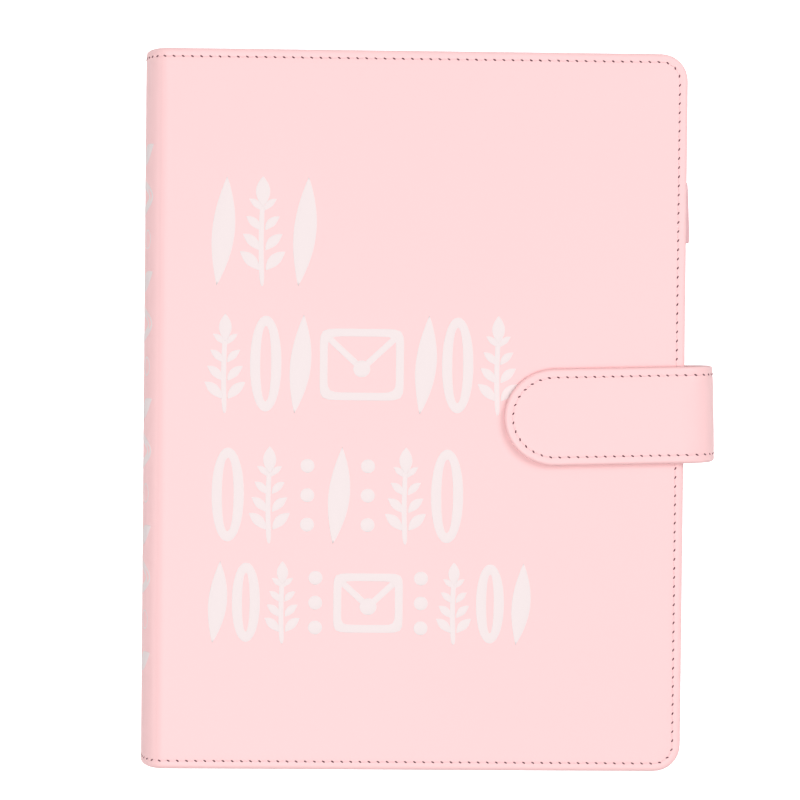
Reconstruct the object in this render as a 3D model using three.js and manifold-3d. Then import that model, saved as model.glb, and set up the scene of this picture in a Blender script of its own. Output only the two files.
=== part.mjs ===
// A cash envelope wallet: a leatherette six-ring binder, closed, with a snap strap.
// Millimetres, +Z up. It lies on its back cover, spine to the left (-X), fore-edge to the right.
// The origin is the middle of the back cover's flat outer face.

import * as THREE from "three";
import { mergeVertices } from "three/addons/utils/BufferGeometryUtils.js";
import Module from "manifold-3d";

const wasm = await Module();
wasm.setup();

// Covers
const coverHeight = 232; // along the spine, Y
const panelWidth = 166.6; // crease to fore-edge, X
const closedThickness = 40; // outer face to outer face, Z
const spineBulge = 8.6; // how far the round spine stands out past the crease
const spineSquareness = 2.35; // 2 is an ellipse, more is flatter in the middle
const cornerRadius = 8.7; // fore-edge corners
const skinThickness = 1.2; // outer leatherette
const boardThickness = 1.5;
const liningThickness = 0.8;
const layerGap = 0.1; // glue line between flat layers
const turnedEdge = 1.1; // width of the skin that wraps the board's edge
const edgeRound = 1.1; // roundness of the turned edge
const boardSetback = 3; // bare leatherette beside the crease, where the cover folds
const foldJoin = 0.6; // how far the spine's layers run into the back cover's
const creaseGap = 0.3; // between the parts that meet at the fold
const looseGap = 0.3; // round a piece that sits in a recess

// Strap
const strapWidth = 31.2;
const strapReach = 57.2; // from the fore-edge to the tip, over the front cover
const strapTip = 14; // length of the rounded tip
const strapBulge = 11.2; // how far the bend stands out past the fore-edge
const strapSquareness = 2.4;
const strapLayer = 1.2; // each of its two layers
const strapTilt = 1.6; // degrees, as it was sewn on
const strapOffset = -0.3; // Y of the strap's middle at the fore-edge
const strapRootZ = 1.9; // middle of its tail in the back cover's edge
const strapFold = 6; // from the front face down to where the flap folds back
const magnetRadius = 8.5;
const magnetThickness = 1.2;
const magnetInset = 20; // from the strap's tip to the magnet's middle
const keeperThickness = 0.8;

// Pen loop
const penLoopRadius = 6.4; // outer
const penLoopWall = 1.0;
const penLoopWidth = 19.5;
const penLoopY = 65;
const penLoopProud = 3.6; // past the fore-edge
const penLoopTilt = -2.3; // degrees
const penLoopTail = 15;

// Ring mechanism
const ringRadius = 13.2; // to the middle of the wire
const wireRadius = 1.3;
const ringSpacing = 19; // within each group of three
const ringEnd = 17; // from the arch's end to the nearest ring
const ringTipGap = 0.3;
const ringPinRadius = 0.55;
const ringPinLength = 1.0;
const ringPinClearance = 0.3;
const archLength = 180;
const archWidth = 22;
const archHeight = 5.4;
const archWall = 0.8;
const notchWidth = 3.6;
const notchReach = 5.4; // how far a notch runs in from the arch's rim
const bladeThickness = 1.2;
const bladeRise = 1.1; // under the blades
const bladeEnd = 11; // from the arch's end to the blades' ends
const bladeGap = 0.8; // between the two blades
const bladeMargin = 2.1; // inside the arch's rim
const leverWidth = 11;
const leverThickness = 1.2;
const leverReach = 9; // past the arch's end
const leverLift = 3.8;
const leverRise = 2.45; // under its tongue, which bears on the arch from inside
const leverTongue = 8; // inside the arch
const rivetRadius = 1.5;
const rivetHeadRadius = 3.2;
const rivetHeadHeight = 1.1;
const rivetSpacing = 40;
const rivetClearance = 0.3;

// Envelope leaves, each with four envelopes
const leafCount = 24;
const leafThickness = 0.55;
const leafPitch = 0.8;
const leafShortX = 28; // cover's width less the leaf's, which leaves room for the pen loop
const leafShortY = 24; // cover's height less the leaf's
const leafCorner = 5;
const holeRadius = 3;
const holeMargin = 6.8; // hole's middle to the leaf's inner edge
const holeSeat = 0.3; // between the wire and the side of the hole that bears on it

// Pockets
const pocketThickness = 0.6;
const pocketGap = 0.15; // between stacked pocket sheets
const pocketStart = 24; // crease to the pocket's inner edge
const pocketEdge = 5; // from the pocket sheet to the cover's edge
const cardPocketCount = 2;
const cardPocketTop = 92;
const cardPocketStep = 18;
const cardPocketBottom = 20;
const slipPocketTop = 12;
const backPocketLow = 0; // height of the slanted mouth at the fore-edge
const backPocketHigh = 46; // and beside the rings
const pocketCorner = 4;

// Finish of each material
const pink = 0xffd9da;
const finishes = {
  leatherette: { color: pink, roughness: 0.48, metalness: 0 },
  lining: { color: 0xf9cfd2, roughness: 0.6, metalness: 0 },
  board: { color: 0xb9b2a6, roughness: 0.95, metalness: 0 },
  paper: { color: 0xfbf3ee, roughness: 0.85, metalness: 0 },
  chrome: { color: 0xd9dbde, roughness: 0.16, metalness: 1 },
  steel: { color: 0x9a9ca0, roughness: 0.35, metalness: 1 },
};

// Places worked out from the sizes above
const creaseX = -panelWidth / 2;
const foreEdgeX = panelWidth / 2;
const halfHeight = coverHeight / 2;
const midZ = closedThickness / 2;
const coverThickness = skinThickness + boardThickness + liningThickness + 2 * layerGap;
const backInnerZ = coverThickness;
const frontInnerZ = closedThickness - coverThickness;
const spineHollow = (offset) =>
  creaseX - creaseGap / 2 -
  (spineBulge - coverThickness) *
    (1 - (offset / (midZ - coverThickness)) ** spineSquareness) ** (1 / spineSquareness);
const mechanismX = spineHollow(archWidth / 2) + looseGap;
const bladeTopX = mechanismX + bladeRise + bladeThickness;
const ringX = mechanismX + ringRadius - wireRadius + 0.9;
const ringPlaces = [-1, 1].flatMap((side) =>
  [0, 1, 2].map((n) => side * (archLength / 2 - ringEnd - n * ringSpacing)),
);
const bladeHalf = archLength / 2 - bladeEnd;
const leafWidth = panelWidth - leafShortX;
const leafHeight = coverHeight - leafShortY;
const radians = THREE.MathUtils.degToRad;

// A closed geometry as a manifold-3d solid.
function solid(geometry) {
  const bare = geometry.index ? geometry.toNonIndexed() : geometry.clone();
  bare.deleteAttribute("normal");
  bare.deleteAttribute("uv");
  const merged = mergeVertices(bare, 1e-4);
  return new wasm.Manifold(
    new wasm.Mesh({
      numProp: 3,
      vertProperties: merged.attributes.position.array,
      triVerts: new Uint32Array(merged.index.array),
    }),
  );
}

// A manifold-3d solid as a geometry.
function geometryOf(made) {
  const mesh = made.getMesh();
  const stride = mesh.numProp;
  const points = new Float32Array(mesh.numVert * 3);
  for (let i = 0; i < mesh.numVert; i++) {
    points.set(mesh.vertProperties.subarray(i * stride, i * stride + 3), i * 3);
  }
  const geometry = new THREE.BufferGeometry();
  geometry.setAttribute("position", new THREE.BufferAttribute(points, 3));
  geometry.setIndex(new THREE.BufferAttribute(mesh.triVerts, 1));
  return geometry;
}

// A flat outline in XY raised from z = low to z = high.
function plate(outline, low, high, segments = 6) {
  const made = new THREE.ExtrudeGeometry(outline, {
    depth: high - low,
    bevelEnabled: false,
    curveSegments: segments,
  });
  return made.translate(0, 0, low);
}

// A profile drawn in XZ, run along Y from y = low to y = high.
function rail(profile, low, high, segments = 6) {
  const made = new THREE.ExtrudeGeometry(profile, {
    depth: high - low,
    bevelEnabled: false,
    curveSegments: segments,
  });
  return made.rotateX(Math.PI / 2).translate(0, high, 0);
}

// A rectangle with a radius for its left corners and one for its right corners.
function roundedOutline(left, right, low, high, leftRadius, rightRadius) {
  const shape = new THREE.Shape();
  shape.moveTo(left + leftRadius, low);
  shape.lineTo(right - rightRadius, low);
  if (rightRadius) shape.absarc(right - rightRadius, low + rightRadius, rightRadius, -Math.PI / 2, 0);
  shape.lineTo(right, high - rightRadius);
  if (rightRadius) shape.absarc(right - rightRadius, high - rightRadius, rightRadius, 0, Math.PI / 2);
  shape.lineTo(left + leftRadius, high);
  if (leftRadius) shape.absarc(left + leftRadius, high - leftRadius, leftRadius, Math.PI / 2, Math.PI);
  shape.lineTo(left, low + leftRadius);
  if (leftRadius) shape.absarc(left + leftRadius, low + leftRadius, leftRadius, Math.PI, 1.5 * Math.PI);
  return shape;
}

function box(x0, x1, y0, y1, z0, z1) {
  return new THREE.BoxGeometry(x1 - x0, y1 - y0, z1 - z0).translate((x0 + x1) / 2, (y0 + y1) / 2, (z0 + z1) / 2);
}

// A disc or pin standing along +Z.
function disc(x, y, low, high, radius, segments = 24) {
  const made = new THREE.CylinderGeometry(radius, radius, high - low, segments);
  return made.rotateX(Math.PI / 2).translate(x, y, (low + high) / 2);
}

// A pin lying along +X.
function cross(low, high, y, z, radius, segments = 14) {
  const made = new THREE.CylinderGeometry(radius, radius, high - low, segments);
  return made.rotateZ(Math.PI / 2).translate((low + high) / 2, y, z);
}

// The cover panels are built face down with the outer face at z = 0 and the inside upwards.
// The front cover is the same stack turned over.

// Leatherette with its edge turned up round the board on three sides, from x = start.
function coverSkin(start) {
  const outline = roundedOutline(
    creaseX - cornerRadius, foreEdgeX - edgeRound, -halfHeight + edgeRound, halfHeight - edgeRound,
    0, cornerRadius - edgeRound,
  );
  const slab = new THREE.ExtrudeGeometry(outline, {
    depth: coverThickness - 2 * edgeRound,
    bevelThickness: edgeRound,
    bevelSize: edgeRound,
    bevelSegments: 3,
    curveSegments: 7,
  }).translate(0, 0, edgeRound);
  const recess = plate(
    recessOutline(0, creaseX - 2 * cornerRadius),
    skinThickness,
    coverThickness + edgeRound,
  );
  const kept = box(start, foreEdgeX + 1, -halfHeight - 1, halfHeight + 1, -1, closedThickness);
  return solid(slab).subtract(solid(recess)).intersect(solid(kept));
}

// What lies inside the turned edge, from x = start, held back by gap.
function recessOutline(gap, start) {
  const inset = turnedEdge + gap;
  return roundedOutline(
    start, foreEdgeX - inset, -halfHeight + inset, halfHeight - inset,
    0, cornerRadius - inset,
  );
}

function coverBoard() {
  const low = skinThickness + layerGap;
  return solid(plate(recessOutline(looseGap, creaseX + boardSetback), low, low + boardThickness));
}

function coverLining(start) {
  const high = coverThickness;
  return solid(plate(recessOutline(looseGap, start), high - liningThickness, high));
}

// The round spine: a superellipse, drawn from the back cover to the front crease, inset by depth.
function spineCurve(depth, steps = 20) {
  const reach = spineBulge - depth;
  const rise = midZ - depth;
  const power = 2 / spineSquareness;
  const round = Array.from({ length: steps + 1 }, (_, n) => {
    const turn = (Math.PI * n) / steps;
    return new THREE.Vector2(
      creaseX - creaseGap / 2 - reach * Math.sin(turn) ** power,
      midZ - rise * Math.sign(Math.cos(turn)) * Math.abs(Math.cos(turn)) ** power,
    );
  });
  return [new THREE.Vector2(creaseX + foldJoin, depth), ...round];
}

// A spine layer between two insets, along Y from -reach to reach.
function spineLayer(outer, inner, reach) {
  const profile = new THREE.Shape([...spineCurve(outer), ...spineCurve(inner).reverse()]);
  return solid(rail(profile, -reach, reach));
}

// One sheet covers the back and the spine. Its ends are turned in at the spine too.
function backSkin() {
  const inside = spineLayer(skinThickness, coverThickness + 1, halfHeight - turnedEdge);
  const round = spineLayer(0, coverThickness, halfHeight).subtract(inside);
  return round.add(coverSkin(creaseX));
}

function backLining() {
  const high = coverThickness;
  const round = spineLayer(high - liningThickness, high, halfHeight - turnedEdge - looseGap);
  return withRivetHoles(round).add(coverLining(creaseX));
}

// A solid with clearance for the two rivets, bored along X.
function withRivetHoles(made) {
  const low = creaseX - spineBulge + skinThickness + layerGap / 2;
  const high = mechanismX + 2 * archHeight;
  return [-1, 1].reduce((left, side) => {
    const hole = cross(low, high, (side * rivetSpacing) / 2, midZ, rivetRadius + rivetClearance);
    return left.subtract(solid(hole));
  }, made);
}

// The spine's board stops short of both creases, where the cover folds.
function spineBoard() {
  const low = skinThickness + layerGap;
  const made = spineLayer(low, low + boardThickness, halfHeight - turnedEdge - looseGap);
  const kept = box(
    creaseX - spineBulge, creaseX - boardSetback, -halfHeight, halfHeight, 0, closedThickness,
  );
  return withRivetHoles(made.intersect(solid(kept)));
}

// The sprung arch that carries the rings, seen along Y.
function archCurve(inset) {
  const half = archWidth / 2 - inset;
  const height = archHeight - inset;
  const steps = 12;
  return Array.from({ length: steps + 1 }, (_, n) => {
    const turn = (Math.PI * n) / steps;
    return new THREE.Vector2(mechanismX + height * Math.sin(turn) ** 0.75, midZ - half * Math.cos(turn));
  });
}

function ringArch() {
  const profile = new THREE.Shape([...archCurve(0), ...archCurve(archWall).reverse()]);
  let made = solid(rail(profile, -archLength / 2, archLength / 2));
  for (const y of ringPlaces) {
    for (const side of [-1, 1]) {
      const rim = midZ + side * (archWidth / 2 + 1);
      const inner = midZ + side * (archWidth / 2 - notchReach);
      made = made.subtract(solid(box(
        mechanismX - 1, mechanismX + archHeight, y - notchWidth / 2, y + notchWidth / 2,
        Math.min(rim, inner), Math.max(rim, inner),
      )));
    }
  }
  return withRivetHoles(made);
}

// One of the two blades under the arch: side is 1 for the front cover's half.
function ringBlade(side) {
  const near = midZ + side * (bladeGap / 2);
  const far = midZ + side * (archWidth / 2 - bladeMargin);
  const strip = box(
    mechanismX + bladeRise, bladeTopX, -bladeHalf, bladeHalf,
    Math.min(near, far), Math.max(near, far),
  );
  return withRivetHoles(solid(strip));
}

class RingArc extends THREE.Curve {
  constructor(y, side, from, to) {
    super();
    Object.assign(this, { y, side, from, to });
  }
  getPoint(t, target = new THREE.Vector3()) {
    const turn = this.side * (this.from + (this.to - this.from) * t);
    return target.set(ringX + ringRadius * Math.cos(turn), this.y, midZ + ringRadius * Math.sin(turn));
  }
}

// Half a ring, from its tip opposite the spine to its foot on the blade.
function halfRing(y, side) {
  const section = new THREE.Shape();
  section.absarc(0, 0, wireRadius, 0, 2 * Math.PI);
  const tip = Math.asin(ringTipGap / 2 / ringRadius);
  const foot = Math.PI - Math.acos((ringX - bladeTopX) / ringRadius) + 0.15;
  const wire = new THREE.ExtrudeGeometry(section, {
    extrudePath: new RingArc(y, side, tip, foot),
    steps: 12,
    curveSegments: 5,
    bevelEnabled: false,
  });
  const overBlade = box(bladeTopX + ringTipGap / 2, ringX + 2 * ringRadius, y - 5, y + 5, 0, closedThickness);
  const made = solid(wire).intersect(solid(overBlade));
  const tipX = ringX + ringRadius;
  // The front half's tip carries a pin that seats in the back half's tip.
  if (side > 0) {
    return made.add(solid(disc(tipX, y, midZ - ringPinLength, midZ + ringTipGap, ringPinRadius, 8)));
  }
  const socket = disc(
    tipX, y, midZ - ringPinLength - ringPinClearance, midZ,
    ringPinRadius + ringPinClearance / 2, 8,
  );
  return made.subtract(solid(socket));
}

// The thumb lever at one end of the arch.
function ringLever(side) {
  const end = archLength / 2;
  const start = end - leverTongue;
  const low = mechanismX + leverRise;
  const shape = new THREE.Shape();
  shape.moveTo(low, start);
  shape.lineTo(low, end);
  shape.quadraticCurveTo(low, end + leverReach * 0.7, low + leverLift, end + leverReach);
  shape.lineTo(low + leverLift + leverThickness, end + leverReach - leverThickness * 0.6);
  shape.quadraticCurveTo(low + leverThickness, end + leverReach * 0.55, low + leverThickness, end);
  shape.lineTo(low + leverThickness, start);
  const made = new THREE.ExtrudeGeometry(shape, { depth: leverWidth, bevelEnabled: false, curveSegments: 6 });
  made.translate(0, 0, midZ - leverWidth / 2);
  return side > 0 ? solid(made) : solid(made).mirror([0, 1, 0]);
}

// A rivet with a domed head on the arch and its shank through the spine's board.
function ringRivet(side) {
  const crown = mechanismX + archHeight + layerGap;
  const foot = creaseX - spineBulge + skinThickness + 2 * layerGap;
  const head = new THREE.Vector2(0, crown + rivetHeadHeight);
  const profile = [
    new THREE.Vector2(0, foot),
    new THREE.Vector2(rivetRadius, foot),
    new THREE.Vector2(rivetRadius, crown),
    new THREE.Vector2(rivetHeadRadius, crown),
    new THREE.Vector2(rivetHeadRadius * 0.8, crown + rivetHeadHeight * 0.7),
    head,
  ];
  const made = new THREE.LatheGeometry(profile, 14);
  return solid(made.rotateZ(-Math.PI / 2).translate(0, (side * rivetSpacing) / 2, midZ));
}

// An envelope leaf: its holes lie where the rings' arc passes through its height.
function leaf(number) {
  const z = midZ + (number - (leafCount - 1) / 2) * leafPitch;
  const lean = Math.asin((z - midZ) / ringRadius);
  const wireHalf = wireRadius / Math.cos(lean) + (leafThickness / 2) * Math.abs(Math.tan(lean));
  const slack = holeRadius - wireHalf - holeSeat;
  const holeX = ringX + ringRadius * Math.cos(lean) + slack;
  const left = holeX - holeMargin;
  const outline = roundedOutline(left, left + leafWidth, -leafHeight / 2, leafHeight / 2, leafCorner / 2, leafCorner);
  for (const y of ringPlaces) {
    outline.holes.push(new THREE.Path().absarc(holeX, y, holeRadius, 0, 2 * Math.PI, true));
  }
  return solid(plate(outline, z - leafThickness / 2, z + leafThickness / 2, 4));
}

// Pocket sheets on the inside of a cover, at a depth counted in sheets above the lining.
function pocketSheet(outline, depth) {
  const low = coverThickness + layerGap + depth * (pocketThickness + pocketGap);
  return solid(plate(outline, low, low + pocketThickness, 3));
}

function cardPocket(number) {
  const top = cardPocketTop - number * cardPocketStep;
  const outline = roundedOutline(
    creaseX + pocketStart, foreEdgeX - pocketEdge, cardPocketBottom, top, pocketCorner, pocketCorner,
  );
  return pocketSheet(outline, number);
}

function slipPocket() {
  const outline = roundedOutline(
    creaseX + pocketStart, foreEdgeX - pocketEdge, -halfHeight + pocketEdge, slipPocketTop, pocketCorner, pocketCorner,
  );
  return pocketSheet(outline, 0);
}

// The back cover's pocket has a slanted mouth.
function backPocket() {
  const left = creaseX + pocketStart;
  const right = foreEdgeX - pocketEdge;
  const low = -halfHeight + pocketEdge;
  const outline = new THREE.Shape([
    new THREE.Vector2(left, low),
    new THREE.Vector2(right - pocketCorner, low),
    new THREE.Vector2(right, low + pocketCorner),
    new THREE.Vector2(right, backPocketLow),
    new THREE.Vector2(left, backPocketHigh),
  ]);
  return pocketSheet(outline, 0);
}

// A band closed into a loop, with its tail laid flat on the lining.
function penLoop() {
  const low = backInnerZ + layerGap;
  const middleX = foreEdgeX + penLoopProud - penLoopRadius;
  const middleZ = low + penLoopRadius;
  const band = new THREE.Shape();
  band.absarc(middleX, middleZ, penLoopRadius, 0, 2 * Math.PI);
  band.holes.push(new THREE.Path().absarc(middleX, middleZ, penLoopRadius - penLoopWall, 0, 2 * Math.PI, true));
  const half = penLoopWidth / 2;
  const loop = solid(rail(band, -half, half, 12));
  const tail = solid(box(middleX - penLoopTail, middleX, -half, half, low, low + penLoopWall));
  const bore = solid(rail(new THREE.Shape().absarc(middleX, middleZ, penLoopRadius - penLoopWall, 0, 2 * Math.PI), -half, half, 12));
  return loop.add(tail.subtract(bore)).translate([-foreEdgeX, 0, 0]);
}

// The strap is drawn with the fore-edge at x = 0 and its own middle at y = 0.
const strapTopZ = closedThickness + looseGap + strapLayer + layerGap / 2; // between its two layers
const strapMidZ = (strapTopZ + strapRootZ) / 2;
const strapFoldZ = closedThickness - strapFold; // where the flap folds back from the tail

// The middle of the strap from its root, round the bend and along the cover to its tip.
function strapLine(steps = 20) {
  const half = strapMidZ - strapRootZ;
  const reach = strapBulge - strapLayer - layerGap / 2;
  const power = 2 / strapSquareness;
  const bend = Array.from({ length: steps + 1 }, (_, n) => {
    const turn = (Math.PI * n) / steps;
    return new THREE.Vector2(
      reach * Math.sin(turn) ** power,
      strapMidZ - half * Math.sign(Math.cos(turn)) * Math.abs(Math.cos(turn)) ** power,
    );
  });
  return [new THREE.Vector2(-2, strapRootZ), ...bend, new THREE.Vector2(-strapReach - 1, strapTopZ)];
}

// The strap's line moved sideways by distance, outwards being positive.
function besideStrap(distance) {
  const line = strapLine();
  return line.map((point, n) => {
    const before = line[Math.max(n - 1, 0)];
    const after = line[Math.min(n + 1, line.length - 1)];
    const along = after.clone().sub(before).normalize();
    return new THREE.Vector2(point.x + along.y * distance, point.y - along.x * distance);
  });
}

function strapOutline() {
  const half = strapWidth / 2;
  const outline = new THREE.Shape();
  outline.moveTo(strapBulge + 5, -half);
  outline.lineTo(strapBulge + 5, half);
  outline.lineTo(-strapReach + strapTip, half);
  outline.absellipse(-strapReach + strapTip, 0, strapTip, half, Math.PI / 2, 1.5 * Math.PI);
  return outline;
}

// One layer of the strap between two distances from its middle, and between two heights.
function strapSheet(near, far, low, high) {
  const profile = new THREE.Shape([...besideStrap(far), ...besideStrap(near).reverse()]);
  const bent = solid(rail(profile, -strapWidth, strapWidth));
  return bent.intersect(solid(plate(strapOutline(), low, high, 9)));
}

const magnetX = -strapReach + magnetInset;
const flapLow = strapFoldZ + creaseGap / 2;
const flapHigh = closedThickness + 10;

// Each layer is hollowed by half the magnet.
function strapHollow() {
  const half = magnetThickness / 2 + layerGap;
  return solid(disc(magnetX, 0, strapTopZ - half, strapTopZ + half, magnetRadius + looseGap, 20));
}

function strapTopLayer() {
  return strapSheet(layerGap / 2, layerGap / 2 + strapLayer, flapLow, flapHigh).subtract(strapHollow());
}

function strapUnderLayer() {
  return strapSheet(-layerGap / 2 - strapLayer, -layerGap / 2, flapLow, flapHigh).subtract(strapHollow());
}

function strapMagnet() {
  const half = magnetThickness / 2;
  return solid(disc(magnetX, 0, strapTopZ - half, strapTopZ + half, magnetRadius, 20));
}

// Both layers sewn together, from the back cover's edge up to the fold.
function strapTail() {
  const thick = strapLayer + layerGap / 2;
  const seam = box(-30, looseGap, -60, 60, -1, strapFoldZ);
  return strapSheet(-thick, thick, 0, strapFoldZ - creaseGap / 2)
    .subtract(solid(seam).rotate([0, 0, -strapTilt]));
}

// Where the strap's magnet meets the front cover.
function keeperPlace() {
  const turn = radians(strapTilt);
  return [foreEdgeX + magnetX * Math.cos(turn), strapOffset + magnetX * Math.sin(turn)];
}

function keeper(low, high, radius) {
  const [x, y] = keeperPlace();
  return solid(disc(x, y, low, high, radius, 20));
}

const root = new THREE.Group();
const frontCover = new THREE.Group();
const strapSeat = new THREE.Group();
const loopSeat = new THREE.Group();
root.add(frontCover, strapSeat, loopSeat);

function add(parent, name, made, finish) {
  const mesh = new THREE.Mesh(geometryOf(made), new THREE.MeshStandardMaterial(finishes[finish]));
  mesh.name = name;
  parent.add(mesh);
  return mesh;
}

// The front cover is the back cover's stack mirrored through the middle of the wallet.
function facingDown(made) {
  return made.mirror([0, 0, 1]).translate([0, 0, closedThickness]);
}

// Back cover and spine
add(root, "back_and_spine_skin", backSkin(), "leatherette");
add(root, "back_cover_board", coverBoard(), "board");
add(root, "back_and_spine_lining", backLining(), "lining");
add(root, "back_slip_pocket", backPocket(), "lining");
loopSeat.position.set(foreEdgeX, penLoopY, 0);
loopSeat.rotation.z = radians(penLoopTilt);
add(loopSeat, "pen_loop", penLoop(), "leatherette");

add(root, "spine_board", spineBoard(), "board");

// Ring mechanism
add(root, "ring_arch", ringArch(), "chrome");
add(root, "ring_blade_front", ringBlade(1), "steel");
add(root, "ring_blade_back", ringBlade(-1), "steel");
ringPlaces.toSorted((a, b) => a - b).forEach((y, n) => {
  add(root, `ring_${n + 1}_front_half`, halfRing(y, 1), "chrome");
  add(root, `ring_${n + 1}_back_half`, halfRing(y, -1), "chrome");
});
add(root, "ring_lever_top", ringLever(1), "chrome");
add(root, "ring_lever_bottom", ringLever(-1), "chrome");
add(root, "ring_rivet_top", ringRivet(1), "chrome");
add(root, "ring_rivet_bottom", ringRivet(-1), "chrome");

// Envelope leaves, from the back cover to the front
for (let n = 0; n < leafCount; n++) {
  add(root, `envelope_leaf_${String(n + 1).padStart(2, "0")}`, leaf(n), "paper");
}

// Front cover
const keeperLow = skinThickness + layerGap;
const keeperHole = keeper(
  closedThickness - keeperLow - keeperThickness - layerGap, closedThickness, magnetRadius + looseGap,
);
add(frontCover, "front_cover_skin", facingDown(coverSkin(creaseX + creaseGap / 2)), "leatherette");
add(frontCover, "front_cover_board", facingDown(coverBoard()).subtract(keeperHole), "board");
add(frontCover, "front_cover_lining", facingDown(coverLining(creaseX + creaseGap / 2)), "lining");
add(
  frontCover, "snap_keeper",
  keeper(closedThickness - keeperLow - keeperThickness, closedThickness - keeperLow, magnetRadius), "steel",
);
for (let n = 0; n < cardPocketCount; n++) {
  add(frontCover, `card_pocket_${n + 1}`, facingDown(cardPocket(n)), "lining");
}
add(frontCover, "front_slip_pocket", facingDown(slipPocket()), "lining");

// Strap: its tail is sewn into the back cover's edge, and its flap snaps onto the front cover
strapSeat.position.set(foreEdgeX, strapOffset, 0);
strapSeat.rotation.z = radians(strapTilt);
add(strapSeat, "strap_tail", strapTail(), "leatherette");
add(strapSeat, "strap_top_layer", strapTopLayer(), "leatherette");
add(strapSeat, "strap_under_layer", strapUnderLayer(), "lining");
add(strapSeat, "strap_magnet", strapMagnet(), "steel");

export default root;
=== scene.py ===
# %% [markdown]
# # A leatherette cash envelope wallet
# The CAD frame already holds every piece of a six-ring binder at its true place, in metres.
# This lesson dresses it: soft leatherette, sewn edges, rings that catch the light and paper leaves.
# +X points from the spine to the fore-edge, +Y to the top of the front, +Z out of the front cover.

import math

import bmesh
import bpy
import numpy as np
from mathutils import Matrix, Vector


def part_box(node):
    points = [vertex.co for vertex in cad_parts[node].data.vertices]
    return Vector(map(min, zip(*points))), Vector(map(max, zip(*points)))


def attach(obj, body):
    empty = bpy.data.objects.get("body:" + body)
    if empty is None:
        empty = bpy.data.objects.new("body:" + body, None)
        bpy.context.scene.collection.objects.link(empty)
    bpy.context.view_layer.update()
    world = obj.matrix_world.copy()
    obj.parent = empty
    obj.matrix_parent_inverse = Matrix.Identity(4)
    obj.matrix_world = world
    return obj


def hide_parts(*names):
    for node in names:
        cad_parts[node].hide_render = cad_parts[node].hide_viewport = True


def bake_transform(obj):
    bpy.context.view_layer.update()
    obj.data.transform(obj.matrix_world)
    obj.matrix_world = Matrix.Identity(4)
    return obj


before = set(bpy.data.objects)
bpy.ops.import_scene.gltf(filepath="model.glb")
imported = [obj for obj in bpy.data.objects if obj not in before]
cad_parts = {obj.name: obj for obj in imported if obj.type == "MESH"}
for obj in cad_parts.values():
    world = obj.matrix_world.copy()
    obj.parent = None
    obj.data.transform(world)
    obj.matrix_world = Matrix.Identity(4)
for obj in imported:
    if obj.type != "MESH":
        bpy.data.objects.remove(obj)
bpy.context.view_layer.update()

# %% [markdown]
# ## Sizes
# The outer sizes are measured from the CAD nodes, so the dressed wallet follows the frame.
# Curves, stitches, the strap's outline and the pen loop have sizes of their own, in millimetres.

# %% Sizes
MM = 0.001
back_low, back_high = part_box("back_and_spine_skin")
cover_low, cover_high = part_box("front_cover_skin")
FORE_X = float(back_high[0])
HALF_Y = float(back_high[1])
THICK = float(cover_high[2])
PANEL = THICK - float(cover_low[2])
HALF_CREASE_GAP = 0.15 * MM
CREASE_X = float(cover_low[0]) - HALF_CREASE_GAP
BULGE = CREASE_X - float(back_low[0])
SQUARENESS = 2.35
CORNER = 8.7 * MM
STITCH_INSET = 2.75 * MM
STITCH_PITCH = 2.94 * MM
print("cover", round((FORE_X - CREASE_X) / MM, 1), "x", round(2 * HALF_Y / MM, 1), "mm")
print("spine bulge", round(BULGE / MM, 1), "mm")


# %% [markdown]
# ## Shader groups shared by several finishes
# Fine grain and a slow variation of colour appear on nearly every finish, each at its own strength.
# A node group holds each effect once. It puts out only colours, masks and heights, and the shader
# stays in the material.

# %% Helpers for node groups
def group(name, inputs, outputs):
    """A shader node group with the named sockets; returns the tree, its input node and its output node."""
    tree = bpy.data.node_groups.new(name, "ShaderNodeTree")
    for label, kind, value in inputs:
        socket = tree.interface.new_socket(name=label, in_out="INPUT", socket_type=kind)
        if value is not None:
            socket.default_value = value
    for label, kind in outputs:
        tree.interface.new_socket(name=label, in_out="OUTPUT", socket_type=kind)
    return tree, tree.nodes.new("NodeGroupInput"), tree.nodes.new("NodeGroupOutput")


def node(tree, kind, inputs=None, **settings):
    """A node of that kind with its settings and input values; an input may be a socket to link from."""
    made = tree.nodes.new(kind)
    for key, value in settings.items():
        setattr(made, key, value)
    for key, value in (inputs or {}).items():
        if isinstance(value, bpy.types.NodeSocket):
            tree.links.new(value, made.inputs[key])
        else:
            made.inputs[key].default_value = value
    return made


def linear(red, green, blue):
    """sRGB from 0 to 255 turned into the linear colour that a shader wants, with alpha 1."""
    share = np.array([red, green, blue], float) / 255
    curve = np.where(share <= 0.04045, share / 12.92, ((share + 0.055) / 1.055) ** 2.4)
    return (*map(float, curve), 1.0)


# %% [markdown]
# ### Grain
# Leatherette is pressed with a roller, so its grain is a field of tiny rounded pebbles. A smooth
# Voronoi texture gives the pebbles, and a finer noise keeps them from looking drawn. An image could
# do it too, but a texture worked out in place stays sharp at any distance.

# %% Grain group
GRAIN, into, out = group(
    "fine_grain",
    [("Vector", "NodeSocketVector", None), ("Scale", "NodeSocketFloat", 1600.0),
     ("Pebble", "NodeSocketFloat", 0.5)],
    [("Height", "NodeSocketFloat"), ("Fine", "NodeSocketFloat")],
)
pebbles = node(GRAIN, "ShaderNodeTexVoronoi",
               {"Vector": into.outputs["Vector"], "Scale": into.outputs["Scale"]}, feature="SMOOTH_F1")
fine = node(GRAIN, "ShaderNodeTexNoise", {"Vector": into.outputs["Vector"], "Scale": 2600.0, "Detail": 2.0})
weighted = node(GRAIN, "ShaderNodeMath",
                {0: pebbles.outputs["Distance"], 1: into.outputs["Pebble"]}, operation="MULTIPLY")
height = node(GRAIN, "ShaderNodeMath", {0: weighted.outputs[0], 1: fine.outputs["Fac"]}, operation="ADD")
GRAIN.links.new(height.outputs[0], out.inputs["Height"])
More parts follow.
